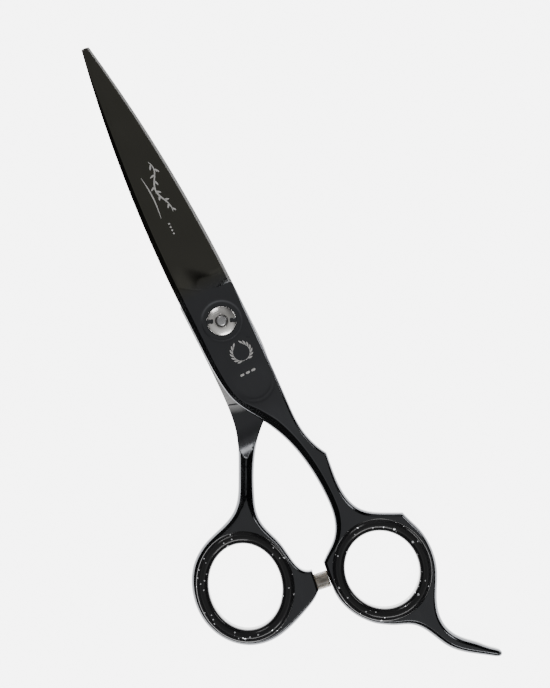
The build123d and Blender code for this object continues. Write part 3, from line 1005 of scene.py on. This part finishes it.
class SHEARS_OT_pivot(bpy.types.Operator):
    """Builds the pivot bolt, the domed tension nut and finishes the washers"""

    bl_idname = "shears.pivot"
    bl_label = "Pivot"

    slot_angle: bpy.props.FloatProperty(
        name="Slot angle",
        description="Direction of the nut's key slots",
        subtype="ANGLE",
        unit="ROTATION",
        default=math.radians(-22.0),
    )

    def execute(self, context):
        chrome = steel_material("nut_chrome", (0.8, 0.78, 0.75), 0.2, (1, 1, 1), 0.0000006)
        steel = steel_material("bolt_steel", (0.62, 0.62, 0.63), 0.28, (12, 1, 12), 0.000001)
        base, peak = NUT_LOW[2], BOLT_HIGH[2]
        rim = base + 1.08
        lip, lip_drop = 0.08, 0.05
        bore, well, well_depth = 1.5, 1.72, 0.3
        slot_half, slot_end, slot_depth = 0.47, 2.11, 0.3
        turn = np.array([math.cos(self.slot_angle), math.sin(self.slot_angle)])
        side = np.array([-turn[1], turn[0]])

        def nut_top(plan):
            out = np.hypot(plan[:, 0], plan[:, 1])
            height = rim + (peak - 0.02 - rim) * (1 - (out / NUT_RADIUS) ** 2.2)
            height -= lip_drop * np.clip((out - NUT_RADIUS + lip) / lip, 0, 1)
            height -= well_depth * np.clip((well - out) / (well - bore), 0, 1)
            return np.where(in_slot(plan), rim - slot_depth, height)

        def in_slot(plan):
            return (np.abs(plan @ side) < slot_half) & (np.abs(plan @ turn) > slot_end)

        rim_rings = [NUT_RADIUS - away for away in (lip, 0.16, 0.25, 0.38)]
        guides = ring_guides([*rim_rings, *np.arange(3.12, 1.8, -0.17), 1.73, 1.71, 1.6], 120)
        for sign in (-1, 1):
            for along, across in ((2.1, 0.48), (2.13, 0.45)):
                line = [
                    sign * turn * (NUT_RADIUS - 0.06) - side * across,
                    sign * turn * along - side * across,
                    sign * turn * along + side * across,
                    sign * turn * (NUT_RADIUS - 0.06) + side * across,
                ]
                guides.append((np.array(line), False))
        outline = circle(NUT_RADIUS, 120)
        nut = plate(
            "tension_nut_dome",
            outline,
            [circle(bore, 120)],
            guides,
            nut_top,
            lambda plan: np.full(len(plan), base),
            2 * NUT_RADIUS,
            sharp_degrees=55.0,
        )
        nut.data.materials.append(chrome)
        settings = context.scene.shears_settings
        nut.data.materials.append(found_material("forged_coat", coat_material, settings))
        # painted shade: the key slots' floors and walls get the black coat, standing in for the dark inside
        # the recessed slots
        for face in nut.data.polygons:
            centre = np.array([face.center[:2]]) / MM
            if in_slot(centre)[0] and face.center.z > base * MM and math.hypot(*centre[0]) < NUT_RADIUS:
                face.material_index = 1
        place_piece(nut, "tension_nut", "nut_chrome", "tension_nut")

        neck, neck_top = 2.42, 2.94
        journal, thread = 2.29, 1.36
        shoulder, journal_top = HEAD_DEPTH - 0.03, base - 0.04
        shaft = [(0, 0), (HEAD_RADIUS, 0), (HEAD_RADIUS, shoulder), (neck, shoulder), (neck, neck_top)]
        shaft += [(journal, neck_top), (journal, journal_top), (thread, journal_top)]
        shaft += [(thread, peak - 0.32), (1.1, peak - 0.08), (0, peak)]
        bolt = revolve("pivot_bolt_lathe", fillet_path(shaft, 0.16), Matrix.Identity(3))
        bolt.data.materials.append(steel)
        place_piece(bolt, "thumb_half", "bolt_steel", "pivot_bolt")

        spring = plain_material("spring_steel", (0.5, 0.5, 0.5), 0.3, 1.0)
        plastic = plain_material("washer_plastic", (0.82, 0.81, 0.77), 0.5)
        for name, material in (("spring_washer", spring), ("glide_washer", plastic)):
            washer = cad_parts[name].data
            washer.materials.clear()
            washer.materials.append(material)
        return {"FINISHED"}


class SHEARS_OT_ring_inserts(bpy.types.Operator):
    """Builds the two silicone ring inserts"""

    bl_idname = "shears.ring_inserts"
    bl_label = "Ring inserts"

    lip: bpy.props.FloatProperty(
        name="Lip",
        description="How far the lips reach out from the hole",
        subtype="DISTANCE",
        unit="LENGTH",
        default=0.00315,
        min=0.0024,
        max=0.0035,
    )

    def execute(self, context):
        material = silicone_material(context.scene.shears_settings)
        lip = self.lip / MM
        top = INSERT_HIGH[2]
        quarter = np.linspace(0, math.pi / 2, 14)
        crown, round_height = 1.75, 1.35  # from the hole to the highest line, and the round down from it
        wall = top - round_height
        upper = [(0.0, MIDDLE), (0.0, (MIDDLE + wall) / 2)]
        upper += [(crown - crown * math.cos(a), wall + round_height * math.sin(a)) for a in quarter]
        flange = np.linspace(0, 1, 8)[1:]
        drop = top - HANDLE_FRONT - 0.12
        upper += [(crown + (lip - crown) * t, top - drop * t**1.9) for t in flange]
        edge = HANDLE_FRONT + 0.03
        upper += [(lip + 0.01, edge + 0.05), (lip - 0.02, edge), (1.9, edge)]
        lower = [(away, 2 * MIDDLE - height) for away, height in reversed(upper[1:])]
        profile = upper + lower
        for node, body in (("finger_ring_insert", "finger_half"), ("thumb_ring_insert", "thumb_half")):
            hole = tidy_loop(section_loops(node, MIDDLE)[-1], 0.4)
            made = swept_insert(node.replace("ring_insert", "silicone"), hole, profile)
            made.data.materials.append(material)
            place_piece(made, body, "insert_silicone", node)
        return {"FINISHED"}


class SHEARS_OT_bumper(bpy.types.Operator):
    """Builds the bumper between the rings"""

    bl_idname = "shears.bumper"
    bl_label = "Bumper"

    def execute(self, context):
        points = np.array([v.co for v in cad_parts["bumper"].data.vertices]) / MM
        centre = points.mean(0)
        axis = np.linalg.svd(points - centre)[2][0]
        axis = axis * np.sign(axis[0])
        axis[2] = 0
        axis /= np.linalg.norm(axis)
        along = (points - centre) @ axis
        away = np.linalg.norm(points - centre - along[:, None] * axis, axis=1)
        radius = (points[:, 2].max() - points[:, 2].min()) / 2
        low, high = along.min(), along.max()
        collar = along[away > radius * 0.8].min()
        lift = (points[:, 2].max() + points[:, 2].min()) / 2 - centre[2]
        stem, reach = 1.17, 0.1  # the stem's radius, and how far the plug comes past its CAD solid
        ends = [(0, low + 0.02), (stem, low + 0.02), (stem, collar), (radius, collar)]
        ends += [(radius, high - reach), (radius - 0.2, high + reach), (0, high + reach)]
        turn = Vector((0, 0, 1)).rotation_difference(Vector(axis)).to_matrix().to_4x4()
        move = Matrix.Translation(Vector(centre + np.array([0, 0, lift])) * MM)
        made = revolve("stop_plug", fillet_path(ends, 0.3), move @ turn, 64)
        made.data.materials.append(bumper_material(context.scene.shears_settings))
        place_piece(made, "thumb_half", "bumper_rubber", "bumper")
        return {"FINISHED"}


def ribbon(line, widths, surface, points, faces, lift=0.012, depth=0.04):
    """Adds a thin closed strip on a surface: a centre line and its half widths, in millimetres."""
    line = np.array(line, float)
    along = np.gradient(line, axis=0)
    along /= np.linalg.norm(along, axis=1)[:, None] + 1e-12
    side = np.column_stack([-along[:, 1], along[:, 0]]) * np.array(widths)[:, None]
    left, right = line + side, line - side
    start = len(points)
    for edge, offset in ((left, lift), (right, lift), (right, -depth), (left, -depth)):
        heights = surface(edge) + offset
        points.extend((x * MM, y * MM, z * MM) for (x, y), z in zip(edge, heights))
    count = len(line)
    for k in range(4):
        a, b = start + k * count, start + (k + 1) % 4 * count
        faces.extend((a + i, a + i + 1, b + i + 1, b + i) for i in range(count - 1))
    faces.append(tuple(start + k * count for k in range(4)))
    faces.append(tuple(start + (3 - k) * count + count - 1 for k in range(4)))


def leaf(place, heading, length, width):
    """A pointed leaf as a centre line and half widths."""
    t = np.linspace(0, 1, 13)
    step = np.array([math.cos(heading), math.sin(heading)]) * length
    return np.array(place) + t[:, None] * step, width * np.sin(np.pi * t) ** 0.8 + 0.01


def bar(start, end, width):
    """A straight line with round ends."""
    t = np.linspace(0, 1, 15)
    start, end = np.array(start), np.array(end)
    from_end = np.minimum(t, 1 - t) * np.linalg.norm(end - start)
    inside = np.clip(width - from_end, 0, width)
    return start + t[:, None] * (end - start), np.sqrt(width**2 - inside**2) + 0.01


class SHEARS_OT_etching(bpy.types.Operator):
    """Builds the plain etched marks: a sprig on the blade and a wreath by the pivot"""

    bl_idname = "shears.etching"
    bl_label = "Etched marks"

    def execute(self, context):
        line = context.scene.shears_settings.mark_width / MM / 2
        strips = []
        t = np.linspace(0, 1, 61)
        bend = 1.15 * np.sin(2 * np.pi * 1.25 * t + 0.5) * (1 - 0.35 * t)
        stem = np.column_stack([0.7 + bend, 44.4 - 14.0 * t])
        strips.append((stem, line * (0.5 + 1.3 * np.sin(np.pi * t) ** 0.6)))
        for k, share in enumerate(np.linspace(0.06, 0.94, 10)):
            place = stem[int(share * 60)]
            ahead = stem[min(60, int(share * 60) + 2)] - place
            heading = math.atan2(ahead[1], ahead[0]) + (0.8 if k % 2 else -0.8)
            strips.append(leaf(place, heading, 1.7 - 0.5 * share, 0.22))
        t = np.linspace(0, 1, 41)
        under = np.column_stack([-2.15 + 0.5 * np.sin(np.pi * t), 41.5 - 11.5 * t])
        strips.append((under, line * (0.4 + 1.1 * np.sin(np.pi * t))))
        for k in range(4):
            strips.append(bar((-0.95, 28.2 - 0.9 * k), (-0.95, 27.75 - 0.9 * k), 0.22))
        centre = np.array([0.9, -9.3])
        for k in range(7):
            for sign in (-1, 1):
                turn = -math.pi / 2 + sign * (0.38 + 0.36 * k)
                out = np.array([math.cos(turn), math.sin(turn)])
                heading = turn + sign * (math.pi / 2 - 0.35)
                strips.append(leaf(centre + out * 2.3, heading, 1.25, 0.2))
        for sign in (-1, 1):
            turn = -math.pi / 2 + sign * np.linspace(0.05, 2.6, 30)
            arc = centre + 2.2 * np.column_stack([np.cos(turn), np.sin(turn)])
            strips.append((arc, np.full(30, line * 0.6)))
        for k in range(3):
            strips.append(bar((-2.0 + 1.55 * k, -14.6), (-0.9 + 1.55 * k, -14.6), 0.26))
        half = finger_shape()
        points, faces = [], []
        for centre_line, widths in strips:
            ribbon(centre_line, widths, lambda plan: finger_front(half, plan), points, faces)
        mesh = bpy.data.meshes.new("etched_marks")
        mesh.from_pydata(points, [], faces)
        made = finish_mesh("etched_marks", mesh)
        made.data.materials.append(plain_material("etched_steel", (0.72, 0.71, 0.69), 0.5, 0.2))
        place_piece(made, "finger_half", "bolt_steel")
        return {"FINISHED"}


def studio_world():
    """A soft ring of light overhead, strongest in front and weak on the right, with dark sides."""
    world = bpy.data.worlds.new("studio")
    world.use_nodes = True
    tree = world.node_tree
    where = tree.nodes.new("ShaderNodeTexCoord")
    split = tree.nodes.new("ShaderNodeSeparateXYZ")
    tree.links.new(where.outputs["Generated"], split.inputs[0])
    ramp = tree.nodes.new("ShaderNodeValToRGB")
    tree.links.new(split.outputs["Z"], ramp.inputs["Fac"])
    stops = ((0.0, 0.1), (0.12, 0.03), (0.68, 0.03), (0.81, 0.45), (0.89, 0.45), (0.94, 0.27), (1.0, 0.27))
    elements = ramp.color_ramp.elements
    while len(elements) < len(stops):
        elements.new(0.5)
    for element, (position, value) in zip(elements, stops):
        element.position = position
        element.color = (value, value, value, 1)
    falls = []
    for axis, low, high, at_low, at_high in (("Y", -0.5, 0.3, 1.7, 0.85), ("X", 0.34, 0.46, 1.0, 0.35)):
        fall = tree.nodes.new("ShaderNodeMapRange")
        tree.links.new(split.outputs[axis], fall.inputs["Value"])
        for name, value in (("From Min", low), ("From Max", high), ("To Min", at_low), ("To Max", at_high)):
            fall.inputs[name].default_value = value
        falls.append(fall)
    tree.links.new(ramp.outputs["Color"], tree.nodes["Background"].inputs["Color"])
    both = tree.nodes.new("ShaderNodeMath")
    both.operation = "MULTIPLY"
    for socket, fall in zip(both.inputs, falls):
        tree.links.new(fall.outputs["Result"], socket)
    tree.links.new(both.outputs[0], tree.nodes["Background"].inputs["Strength"])
    return world


class SHEARS_OT_stage(bpy.types.Operator):
    """Sets the pale floor, the soft lights and the camera"""

    bl_idname = "shears.stage"
    bl_label = "Stage"

    lens: bpy.props.FloatProperty(name="Lens", description="Focal length of the camera", default=120.0)

    def execute(self, context):
        scene = context.scene
        bpy.ops.mesh.primitive_plane_add(size=6.0, location=(0, 0, -0.0002))
        floor = context.object
        floor.name = "floor"
        pale = bpy.data.materials.new("floor_pale")
        pale.use_nodes = True
        surface = pale.node_tree.nodes["Principled BSDF"].inputs
        surface["Base Color"].default_value = (0.9, 0.9, 0.9, 1)
        surface["Roughness"].default_value = 0.9
        surface["Emission Color"].default_value = (1, 1, 1, 1)
        surface["Emission Strength"].default_value = 6.0
        floor.data.materials.append(pale)

        scene.world = studio_world()
        low, high = (Vector(c) for c in CAD_BOUNDS)
        middle = (low + high) / 2
        lamps = (
            ("key", (-0.08, 0.7, 0.78), 0.3, 0.15, 0.9),
            ("far", (0.25, 0.9, 0.5), 0.9, 0.7, 0.5),
            ("front", (-0.12, -0.68, 0.8), 0.6, 0.2, 3.0),
            ("edge", (0.8, 0.1, 0.42), 0.3, 0.12, 0.7),
        )
        for name, offset, width, depth, power in lamps:
            light = bpy.data.lights.new(name, "AREA")
            light.shape = "RECTANGLE"
            light.size, light.size_y = width, depth
            light.energy = power
            lamp = bpy.data.objects.new(name, light)
            lamp.location = middle + Vector(offset)
            lamp.rotation_euler = (-Vector(offset)).to_track_quat("-Z", "Y").to_euler()
            scene.collection.objects.link(lamp)

        camera = bpy.data.objects.new("camera", bpy.data.cameras.new("camera"))
        camera.data.lens = self.lens
        camera.data.sensor_fit = "HORIZONTAL"
        camera.data.sensor_width = 36.0
        across = 0.1397
        distance = self.lens / 36.0 * across
        target = Vector((0.00943, -0.01124, MIDDLE * MM))
        camera.location = target + Vector((0, 0, distance))
        camera.rotation_euler = (0, 0, -math.atan(0.5))
        camera.data.clip_start = 0.01
        scene.collection.objects.link(camera)
        scene.camera = camera
        return {"FINISHED"}


class SHEARS_PT_panel(bpy.types.Panel):
    """Lists the steps that build the shears"""

    bl_label = "Shears"
    bl_idname = "SHEARS_PT_panel"
    bl_space_type = "VIEW_3D"
    bl_region_type = "UI"
    bl_category = "Shears"

    def draw(self, context):
        settings = context.scene.shears_settings
        for name in settings.bl_rna.properties.keys():
            if name not in ("rna_type", "name"):
                self.layout.prop(settings, name)
        for operator in OPERATORS:
            self.layout.operator(operator.bl_idname)


OPERATORS = (
    SHEARS_OT_finger_half,
    SHEARS_OT_thumb_half,
    SHEARS_OT_pivot,
    SHEARS_OT_ring_inserts,
    SHEARS_OT_bumper,
    SHEARS_OT_etching,
    SHEARS_OT_stage,
)
CLASSES = (ShearsSettings, *OPERATORS, SHEARS_PT_panel)


def register():
    for item in CLASSES:
        bpy.utils.register_class(item)
    bpy.types.Scene.shears_settings = bpy.props.PointerProperty(type=ShearsSettings)


def unregister():
    del bpy.types.Scene.shears_settings
    for item in reversed(CLASSES):
        bpy.utils.unregister_class(item)


def main():
    register()
    bpy.ops.shears.finger_half()
    bpy.ops.shears.thumb_half()
    bpy.ops.shears.pivot()
    bpy.ops.shears.ring_inserts()
    bpy.ops.shears.bumper()
    bpy.ops.shears.etching()
    bpy.ops.shears.stage()


if __name__ == "__main__":
    main()
